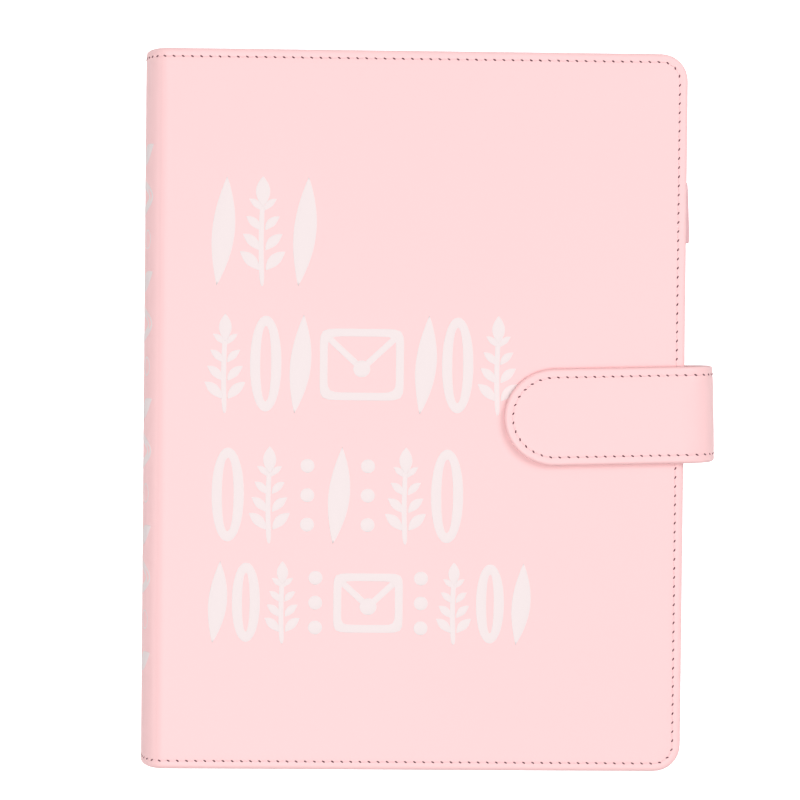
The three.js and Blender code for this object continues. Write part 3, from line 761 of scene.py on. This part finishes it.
def pen_line(start, end, stroke, bow=0.0, steps=21):
    """A pen stroke between two points with round ends: half width = stroke/2 * (1 - |u|^10)^0.5."""
    start, end = np.array(start, float), np.array(end, float)
    u = np.sin(np.linspace(-PEN_END, PEN_END, steps))
    share = (u[:, None] + 1) / 2
    over = np.array([-(end - start)[1], (end - start)[0]]) / np.linalg.norm(end - start)
    line = start * (1 - share) + end * share + over * bow * (1 - u[:, None] ** 2)
    return ribbon(line, stroke / 2 * np.sqrt(1 - u**10))


def envelope_shape(x, y, long, wide, stroke):
    """An envelope: a rounded frame, two flap lines that meet under its middle, and a round seal on them."""
    half_w, half_l = wide / 2, long / 2
    low = (x, y - half_l * 0.12)
    return [frame_band(x, y, half_w, half_l, stroke, corner=9),
            pen_line((x - half_w + stroke * 0.9, y + half_l - stroke * 1.0), low, stroke * 0.8),
            pen_line((x + half_w - stroke * 0.9, y + half_l - stroke * 1.0), low, stroke * 0.8),
            dot(x, y - half_l * 0.12, stroke * 2.1)]


def sprig(x, y, long, wide, stroke, pairs=4):
    """A stem with pairs of leaves that grow smaller towards the leaf at its tip."""
    shapes = [pen_line((x, y - long / 2), (x, y + long * 0.30), stroke * 0.5, bow=wide * 0.03),
              leaf_shape(x, y + long * 0.36, long * 0.28, wide * 0.30)]
    for k in range(pairs):
        size = 1 - 0.13 * k
        level = y - long * 0.27 + long * 0.17 * k
        for side in (-1, 1):
            shapes.append(leaf_shape(x + side * wide * 0.27 * size, level, long * 0.25 * size,
                                     wide * 0.24 * size, lean=side * 0.80, bow=-side * wide * 0.03))
    return shapes


def gather(shapes):
    """Several shapes as one pair of lists. Neighbours lie a few microns apart in height."""
    points, faces, count = [], [], 0
    for number, (place, corners) in enumerate(shapes):
        place = place.copy()
        place[:, 2] += (number % 5) * 0.004 * MM
        points.append(place)
        faces += [[v + count for v in face] for face in corners]
        count += len(place)
    return np.vstack(points), faces


# %% [markdown]
# ### Four rows on the front
# Each row of the table holds its reach from left to right and from top to bottom, in pixels of a
# picture 800 wide, and its motifs with the share of the width that each takes.

# %% Four rows on the front
STROKE = 3.4 * MM
PIXEL_ON_FRONT = 0.3222 * MM
PICTURE_MIDDLE = 400
AIM_X, AIM_Y = -8.65 * MM, 3.65 * MM
ROWS = [
    ((205, 318), (178, 288), (("leaf", 0.9), ("sprig", 1.4), ("leaf", 0.9))),
    ((203, 520), (315, 415), (("sprig", 1.2), ("ring", 1.0), ("leaf", 0.8), ("envelope", 2.6),
                              ("leaf", 0.8), ("ring", 1.0), ("sprig", 1.2))),
    ((210, 467), (447, 545), (("ring", 1.0), ("sprig", 1.2), ("dots", 0.8), ("leaf", 0.8),
                              ("dots", 0.8), ("sprig", 1.2), ("ring", 1.0))),
    ((205, 535), (562, 645), (("leaf", 0.8), ("ring", 1.0), ("sprig", 1.2), ("dots", 0.8), ("envelope", 2.4),
                              ("dots", 0.8), ("sprig", 1.2), ("ring", 1.0), ("leaf", 0.8))),
]


def on_front(px, py):
    """A pixel of the picture as flat (s, y) on the front cover."""
    s = FRONT_CREASE + AIM_X + (px - PICTURE_MIDDLE) * PIXEL_ON_FRONT - CREASE_X
    return s, AIM_Y + (PICTURE_MIDDLE - py) * PIXEL_ON_FRONT


def motif(kind, x, y, long, cell):
    """The shapes of one motif in a cell of its row."""
    if kind == "leaf":
        return [leaf_shape(x, y, long, min(cell * 0.72, 7.5 * MM), lean=0.09, bow=0.5 * MM)]
    if kind == "ring":
        return [frame_band(x, y, cell * 0.43, long * 0.48, STROKE, corner=2.1)]
    if kind == "dots":
        return [dot(x, y + k * long * 0.30, 4.6 * MM) for k in (-1, 0, 1)]
    if kind == "envelope":
        return envelope_shape(x, y, long * 0.72, cell * 0.88, STROKE * 0.78)
    return sprig(x, y, long, cell * 0.98, STROKE)


shapes = []
for (left, right), (top, bottom), kinds in ROWS:
    unit = (right - left) / sum(width for _, width in kinds)
    place = left
    for kind, width in kinds:
        x, y = on_front(place + width * unit / 2, (top + bottom) / 2)
        shapes += motif(kind, x, y, (bottom - top) * PIXEL_ON_FRONT, width * unit * PIXEL_ON_FRONT)
        place += width * unit
points, faces = gather(shapes)
front_print = plain_object("front_print", rolled_on_cover(points), faces, PRINT)
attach(front_print, "front_cover")
print("front print:", len(shapes), "shapes")

# %% [markdown]
# ### A column on the spine
# Thirteen small motifs stand one above the other. They are drawn flat, like those on the front, and
# the same rolling wraps them round the spine.

# %% A column on the spine
shapes = []
for number, y in enumerate(np.linspace(-82, 82, 13) * MM):
    if number % 3 == 1:
        shapes += [dot(SPINE_MID + k * 13.0 * MM, y, 6.4 * MM) for k in (-1, 0, 1)]
    elif number % 3 == 2:
        shapes.append(frame_band(SPINE_MID, y, 17.6 * MM, 6.4 * MM, 3.2 * MM))
    else:
        shapes += [leaf_shape(SPINE_MID + k * 11.5 * MM, y, 14.0 * MM, 5.4 * MM, lean=k * 1.1)
                   for k in (-1, 0, 1)]
points, faces = gather(shapes)
spine_print = plain_object("spine_print", rolled_on_cover(points), faces, PRINT)
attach(spine_print, "binder")
print("spine print:", len(shapes), "shapes")

# %% [markdown]
# ## The pen loop
# A narrow band of leatherette, closed into a loop, holds a pen at the fore-edge. Its section is a flat
# rounded bar, carried round a circle, and its tail lies on the lining.

# %% The loop
LOOP_TILT = math.radians(2.3)
LOOP_OUT, LOOP_WALL, LOOP_HALF = 6.4 * MM, 1.0 * MM, 10.0 * MM
LOOP_PROUD, LOOP_Y = 4.4 * MM, 66 * MM
LOOP_STEPS, BAR_STEPS = 56, 28
loop_mid = np.array([FORE_X + LOOP_PROUD - LOOP_OUT, LOOP_Y, PANEL + 0.1 * MM + LOOP_OUT])
around = np.linspace(0, 2 * np.pi, LOOP_STEPS, endpoint=False)[:, None]
section_turn = np.linspace(0, 2 * np.pi, BAR_STEPS, endpoint=False)[None, :]
bar = (np.abs(np.cos(section_turn)) ** 5 + np.abs(np.sin(section_turn)) ** 5) ** (-1 / 5)
radial = LOOP_OUT - LOOP_WALL / 2 + LOOP_WALL / 2 * bar * np.cos(section_turn)
along = LOOP_HALF * bar * np.sin(section_turn)
x = radial * np.cos(around)
z = radial * np.sin(around)
y = np.broadcast_to(along, x.shape)


def set_loop(x, y, z):
    """Local loop points turned by the loop's tilt about the fore-edge and put in place."""
    across = x + loop_mid[0] - FORE_X
    return np.stack([FORE_X + across * math.cos(LOOP_TILT) - y * math.sin(LOOP_TILT),
                     loop_mid[1] + across * math.sin(LOOP_TILT) + y * math.cos(LOOP_TILT),
                     loop_mid[2] + z], -1)


faces = grid_faces(LOOP_STEPS + 1, BAR_STEPS, 0, closed=True) % (LOOP_STEPS * BAR_STEPS)
# The band and its tail take the deeper pink, which is painted shade.
loop = mesh_object("pen_loop_band", set_loop(x, y, z), faces, LOOP_LEATHER_PAINTED_SHADE, sharp=60)
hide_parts("pen_loop")
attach(loop, "binder")
tail_length = np.linspace(0, 15 * MM, 12)
tail_section = [(2 * MM, 0), (0.5 * MM, 0), (0.15 * MM, -0.08 * MM), (0, -0.3 * MM),
                (0, -0.8 * MM), (2 * MM, -0.8 * MM)]
points, faces = sheet_surface(tail_length, np.full(12, LOOP_HALF), tail_section, 8)
laid = set_loop(-points[:, 0] - 1.0 * MM, points[:, 1], points[:, 2] - LOOP_OUT + 0.9 * MM)
tail = mesh_object("pen_loop_tail", laid, faces, LOOP_LEATHER_PAINTED_SHADE)
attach(tail, "binder")
print("pen loop:", len(loop.data.vertices), "points")

# %% [markdown]
# ## The rings
# Each ring is plated wire bent round a circle in two halves that meet opposite the spine.
# A half is a circle carried along an arc, with a small shoulder where its tip seats in the other half.

# %% Half rings
arch_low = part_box("ring_arch")[0]
RING_R, WIRE_R = 13.2 * MM, 1.3 * MM
RING_X = float(arch_low[0]) + 12.8 * MM
MID_Z = THICK / 2
ARC_STEPS, WIRE_SIDES = 40, 20
# The wire goes into the arch 10.35 mm behind the middle of its 13.2 mm circle.
FOOT = math.acos(-10.35 / 13.2)


def half_ring(y, side):
    """Tube points: centre + (R + r cos v)(cos u, sin u) in the ring's plane and r sin v along Y."""
    u = np.concatenate([[0.0115, 0.0115], np.linspace(0.02, FOOT, ARC_STEPS), [FOOT]])
    r = WIRE_R * np.concatenate([[0.02, 0.86], np.ones(ARC_STEPS), [0.02]])
    v = np.linspace(0, 2 * np.pi, WIRE_SIDES, endpoint=False)
    out = RING_R + r[:, None] * np.cos(v)
    x = RING_X + out * np.cos(u)[:, None]
    z = MID_Z + side * out * np.sin(u)[:, None]
    tube = np.stack([x, y + r[:, None] * np.sin(v) + 0 * x, z], -1)
    return tube, grid_faces(len(u), WIRE_SIDES, 0, closed=True)


for number in range(1, 7):
    for word, side in (("front", 1), ("back", -1)):
        low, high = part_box(f"ring_{number}_{word}_half")
        points, faces = half_ring(float(low[1] + high[1]) / 2, side)
        wire = mesh_object(f"ring_wire_{number}_{word}", points, faces, CHROME, weld=4e-5)
        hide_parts(f"ring_{number}_{word}_half")
        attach(wire, "binder")
print("rings:", 12, "halves")

# %% [markdown]
# ## Softened copies
# The arch, levers, rivets and pocket sheets have the right shape, but a CAD mesh has knife edges.
# A merged copy of each stands for its node, and all but the rivets get a small bevel that catches the light.

# %% Softening
def softened(name, piece, material, bevel, body):
    """A copy of a CAD node's mesh, its loose triangles merged, with a bevel on its sharp edges."""
    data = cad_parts[name].data.copy()
    edit = bmesh.new()
    edit.from_mesh(data)
    bmesh.ops.remove_doubles(edit, verts=edit.verts, dist=3e-6)
    bmesh.ops.dissolve_limit(edit, angle_limit=0.02, verts=edit.verts, edges=edit.edges)
    edit.to_mesh(data)
    edit.free()
    data.materials.clear()
    data.materials.append(material)
    made = bpy.data.objects.new(piece, data)
    bpy.context.scene.collection.objects.link(made)
    data.shade_smooth()
    data.set_sharp_from_angle(angle=math.radians(35))
    if bevel:
        rounder = made.modifiers.new("edge", "BEVEL")
        rounder.width = bevel
        rounder.segments = 2
        rounder.limit_method = "ANGLE"
        rounder.angle_limit = math.radians(50)
        rounder.harden_normals = True
    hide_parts(name)
    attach(made, body)
    return made


METAL_PIECES = (
    ("ring_arch", "arch_plate", 0.12 * MM),
    ("ring_lever_top", "lever_top", 0.2 * MM),
    ("ring_lever_bottom", "lever_bottom", 0.2 * MM),
    ("ring_rivet_top", "rivet_top", 0.0),
    ("ring_rivet_bottom", "rivet_bottom", 0.0),
)
FRONT_POCKETS = ("card_pocket_1", "card_pocket_2", "front_slip_pocket")
POCKET_BEVEL = 0.16 * MM
for name, piece, bevel in METAL_PIECES:
    softened(name, piece, CHROME, bevel, "binder")
for name in FRONT_POCKETS:
    softened(name, name + "_sheet", LINING, POCKET_BEVEL, "front_cover")
softened("back_slip_pocket", "back_slip_pocket_sheet", LINING, POCKET_BEVEL, "binder")
print("softened:", len(METAL_PIECES), "metal pieces,", len(FRONT_POCKETS) + 1, "pocket sheets")

# %% [markdown]
# ### Stitches on the pockets
# A pocket is sewn on three sides and open at its mouth. The row is a line with two round corners,
# and lies on the side of the sheet that faces the reader.

# %% Stitches on the pockets
def pocket_row(name, body, facing):
    """A row of stitches round three sides of a pocket sheet, its mouth left open."""
    low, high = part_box(name)
    inset = 2.2 * MM
    x0, x1, y0, y1 = low[0] + inset, high[0] - inset, low[1] + inset, high[1] - inset
    # The back pocket's mouth is slanted, so its row ends at the height of the lower side.
    if name == "back_slip_pocket":
        y1 = -2 * MM
    turn = np.linspace(0, np.pi / 2, 6)
    r = 3 * MM
    mouth = y1 - 1.5 * MM
    inner_corner = np.stack([x0 + r - r * np.cos(turn), y0 + r - r * np.sin(turn)], -1)
    outer_corner = np.stack([x1 - r + r * np.sin(turn), y0 + r - r * np.cos(turn)], -1)
    path = np.vstack([[[x0, mouth]], inner_corner, outer_corner, [[x1, mouth]]])
    face = float(low[2]) if facing < 0 else float(high[2])
    sew(name, path, lambda p: np.stack([p[:, 0], p[:, 1], face + facing * p[:, 2]], -1), SLANT, body=body)


for name in FRONT_POCKETS:
    pocket_row(name, "front_cover", -1)
pocket_row("back_slip_pocket", "binder", 1)

# %% [markdown]
# ## Envelopes on the top leaf
# Opening the cover shows the first leaf, with four envelopes one above the other. Each is crowned a
# little, as if it held a few notes, and its flap follows the crown. Plain numbers mark them.

# %% Sheets of paper
leaf_low, leaf_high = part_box("envelope_leaf_24")
LEAF_TOP = float(leaf_high[2])
CROWN = 0.9 * MM
left, right = float(leaf_low[0]) + 17 * MM, float(leaf_high[0]) - 5 * MM
step = (float(leaf_high[1] - leaf_low[1]) - 8 * MM) / 4


def thick_sheet(name, grid, thickness, material):
    """A closed sheet from a grid of points: the grid itself and a copy lower by the sheet's thickness."""
    rows, columns = grid.shape[:2]
    lower = grid - [0, 0, 1] * np.broadcast_to(thickness, (rows, columns))[..., None]
    points = np.concatenate([grid.reshape(-1, 3), lower.reshape(-1, 3)])
    index = np.arange(rows * columns).reshape(rows, columns)
    quad = np.stack([index[:-1, :-1], index[1:, :-1], index[1:, 1:], index[:-1, 1:]], -1).reshape(-1, 4)
    rim = np.concatenate([index[0, :], index[1:, -1], index[-1, -2::-1], index[-2:0:-1, 0]])
    after = np.roll(rim, -1)
    wall = np.stack([rim, after, after + rows * columns, rim + rows * columns], -1)
    faces = np.vstack([quad, quad[:, ::-1] + rows * columns, wall]).tolist()
    made = plain_object(name, points, faces, material)
    made.data.set_sharp_from_angle(angle=math.radians(40))
    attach(made, "binder")
    return made


def crown(x, y, bottom, top):
    """Height of an envelope's face: CROWN * (1 - u^4) * (1 - v^4), with u and v from -1 to 1 across it."""
    u = 2 * (x - left) / (right - left) - 1
    v = 2 * (y - bottom) / (top - bottom) - 1
    return LEAF_TOP + 0.12 * MM + CROWN * (1 - u**4) * (1 - v**4)


# %% [markdown]
# ### Plain digits
# The numbers are drawn as a pen would draw them, with straight strokes and parts of ellipses, each a
# ribbon of ink. That needs no font and gives closed shapes.

# %% Digits drawn with a round pen
def pen_arc(x, y, rx, ry, start, end, stroke, steps=21):
    """A pen stroke along part of an ellipse, its angles in degrees."""
    u = np.sin(np.linspace(-PEN_END, PEN_END, steps))
    turn = np.radians(start + (end - start) * (u + 1) / 2)
    line = np.stack([x + rx * np.cos(turn), y + ry * np.sin(turn)], -1)
    return ribbon(line, stroke / 2 * np.sqrt(1 - u**10))


def digit(number, x, y, size):
    """Strokes of the digits 1 to 4 in a box size * 0.6 wide and size high, centred on x, y."""
    w, h, pen = size * 0.28, size / 2, size * 0.14
    if number == 1:
        return [pen_line((x, y - h), (x, y + h), pen), pen_line((x, y + h), (x - w * 0.8, y + h * 0.55), pen)]
    if number == 2:
        return [pen_arc(x, y + h - w, w, w, 170, -20, pen),
                pen_line((x + w * 0.94, y + h - w * 1.34), (x - w, y - h), pen),
                pen_line((x - w, y - h), (x + w, y - h), pen)]
    if number == 3:
        return [pen_arc(x, y + h * 0.5, w, h * 0.5, 150, -90, pen),
                pen_arc(x, y - h * 0.5, w * 1.08, h * 0.5, 90, -150, pen)]
    return [pen_line((x + w * 0.45, y - h), (x + w * 0.45, y + h), pen),
            pen_line((x + w * 0.45, y + h), (x - w, y - h * 0.3), pen),
            pen_line((x - w, y - h * 0.3), (x + w * 1.2, y - h * 0.3), pen)]


# %% [markdown]
# ### Four envelopes
# Each envelope is a crowned sheet. Its flap is a second sheet just above it, whose depth rises to a
# rounded point in the middle as 1 - ((2u - 1)^2 + 0.02)^0.5.

# %% Four envelopes
for number in range(4):
    top = float(leaf_high[1]) - 4 * MM - number * step
    bottom = top - step + 3 * MM
    x, y = np.meshgrid(np.linspace(left, right, 33), np.linspace(bottom, top, 17), indexing="ij")
    z = crown(x, y, bottom, top)
    thick_sheet(f"envelope_{number + 1}", np.stack([x, y, z], -1), z - LEAF_TOP - 0.02 * MM, PAPER_PINK)
    u = np.linspace(0.02, 0.98, 33)[:, None]
    point = 1 - np.sqrt((2 * u - 1) ** 2 + 0.02)
    depth = (top - bottom) * 0.56 * (point - point.min() + 0.03) / (point.max() - point.min() + 0.03)
    share = np.linspace(0, 1, 13)[None, :]
    x = left + (right - left) * u + 0 * share
    y = top - depth * share
    z = crown(x, y, bottom, top) + 0.16 * MM
    thick_sheet(f"envelope_flap_{number + 1}", np.stack([x, y, z], -1), 0.11 * MM, FLAP_PAPER)
    points, faces = gather(digit(number + 1, left + 12 * MM, bottom + 12 * MM, 8 * MM))
    points[:, 2] += crown(points[:, 0], points[:, 1], bottom, top)
    mark = plain_object(f"envelope_number_{number + 1}", points, faces, ROSE_INK)
    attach(mark, "binder")
print("envelopes on the top leaf:", 4)

# %% [markdown]
# ## CAD nodes that keep their shape
# Boards, blades and leaves are right as they are. Their CAD meshes stay, with a finish.
# The leaves alternate between white and pale pink paper, as envelope sets often do.

# %% Finishes on CAD nodes
def paint(match, material):
    """Gives the material to every CAD node whose name fits."""
    names = [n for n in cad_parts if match(n)]
    for name in names:
        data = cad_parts[name].data
        data.materials.clear()
        data.materials.append(material)
    return names


print("board:", paint(lambda n: n.endswith("_board"), GREYBOARD))
print("steel:", paint(lambda n: "blade" in n or n in ("snap_keeper", "strap_magnet"), STEEL))
for colour, odd, paper in (("white", 0, PAPER), ("pink", 1, PAPER_PINK)):
    leaves = paint(lambda n: n.startswith("envelope_leaf") and int(n[-2:]) % 2 == odd, paper)
    print(colour, "leaves:", len(leaves))

# %% [markdown]
# ## Floor, light and camera
# The photo looks straight down at the wallet on white. The floor is pale and adds a glow of its own that
# only the camera sees, so it shows white and still keeps the wallet's shadow.

# %% Floor
floor_data = bpy.data.meshes.new("floor")
FLOOR_HALF, FLOOR_Z = 4, -0.0004
corners = [(x * FLOOR_HALF, y * FLOOR_HALF, FLOOR_Z) for x, y in ((-1, -1), (1, -1), (1, 1), (-1, 1))]
floor_data.from_pydata(corners, [], [(0, 1, 2, 3)])
floor = bpy.data.objects.new("floor", floor_data)
bpy.context.scene.collection.objects.link(floor)
paper_white = bpy.data.materials.new("studio_floor")
paper_white.use_nodes = True
tree = paper_white.node_tree
tree.nodes.clear()
rays = node(tree, "ShaderNodeLightPath")
diffuse = node(tree, "ShaderNodeBsdfDiffuse", {"Color": (0.8, 0.8, 0.8, 1)})
glow = node(tree, "ShaderNodeEmission", {"Color": (1, 1, 1, 1), "Strength": 0.75})
both = node(tree, "ShaderNodeAddShader", {0: diffuse.outputs[0], 1: glow.outputs[0]})
shown = node(tree, "ShaderNodeMixShader",
             {0: rays.outputs["Is Camera Ray"], 1: diffuse.outputs[0], 2: both.outputs[0]})
node(tree, "ShaderNodeOutputMaterial", {"Surface": shown.outputs[0]})
floor_data.materials.append(paper_white)

# %% [markdown]
# ### World and lamps
# The camera sees a white world, while the pieces get a dimmer one, so the pale leatherette isn't
# washed out. The key lamp from the upper right gives the edges their shadows, the overhead lamp evens
# the front, and a weak lamp low on the left lights the turn of the spine.

# %% World and lamps
world = bpy.data.worlds.new("studio")
bpy.context.scene.world = world
world.use_nodes = True
tree = world.node_tree
tree.nodes.clear()
rays = node(tree, "ShaderNodeLightPath")
fill = node(tree, "ShaderNodeBackground", {"Color": (1, 1, 1, 1), "Strength": 0.40})
white = node(tree, "ShaderNodeBackground", {"Color": (1, 1, 1, 1), "Strength": 1.0})
shown = node(tree, "ShaderNodeMixShader",
             {0: rays.outputs["Is Camera Ray"], 1: fill.outputs[0], 2: white.outputs[0]})
node(tree, "ShaderNodeOutputWorld", {"Surface": shown.outputs[0]})


def lamp(name, place, aim, size, power):
    """A square area lamp at a place, turned to its aim."""
    light = bpy.data.lights.new(name, "AREA")
    light.size = size
    light.energy = power
    made = bpy.data.objects.new(name, light)
    bpy.context.scene.collection.objects.link(made)
    made.location = place
    way = np.array(aim, float) - np.array(place, float)
    made.rotation_euler = Vector(way).to_track_quat("-Z", "Y").to_euler()
    return made


lamp("key", (1.9, 1.5, 2.9), (0, 0, 0.02), 1.7, 61.5)
lamp("overhead", (-0.4, -0.5, 3.0), (0, 0, 0.02), 1.4, 41.0)
lamp("spine_side", (-2.6, -0.3, 0.35), (0, 0, 0.02), 0.8, 11.0)
print("lamps:", len(bpy.data.lights))

# %% [markdown]
# ### Camera
# The camera looks down from 0.9 metres and leans by two degrees, which fits the photo. Its lens
# follows from the size of a pixel on the front cover.

# %% Camera
FRAME_PX = 800
MM_PER_PX = 0.3219 * MM
DISTANCE = 0.9
LEAN = (math.radians(-1.6), math.radians(1.2))
ROLL = math.radians(0.57)
SENSOR = 36
AIM = np.array([AIM_X, AIM_Y, THICK])
camera_data = bpy.data.cameras.new("camera")
camera_data.sensor_width = SENSOR
camera_data.lens = SENSOR * DISTANCE / (FRAME_PX * MM_PER_PX)
camera = bpy.data.objects.new("camera", camera_data)
bpy.context.scene.collection.objects.link(camera)
way = np.array([math.tan(LEAN[0]), math.tan(LEAN[1]), 1.0])
camera.location = AIM + DISTANCE * way / np.linalg.norm(way)
tilted = Matrix.Rotation(LEAN[0], 3, "Y") @ Matrix.Rotation(-LEAN[1], 3, "X")
camera.rotation_euler = (tilted @ Matrix.Rotation(ROLL, 3, "Z")).to_euler()
bpy.context.scene.camera = camera
bpy.context.scene.view_settings.view_transform = "Standard"
print("lens", round(camera_data.lens, 1), "mm")
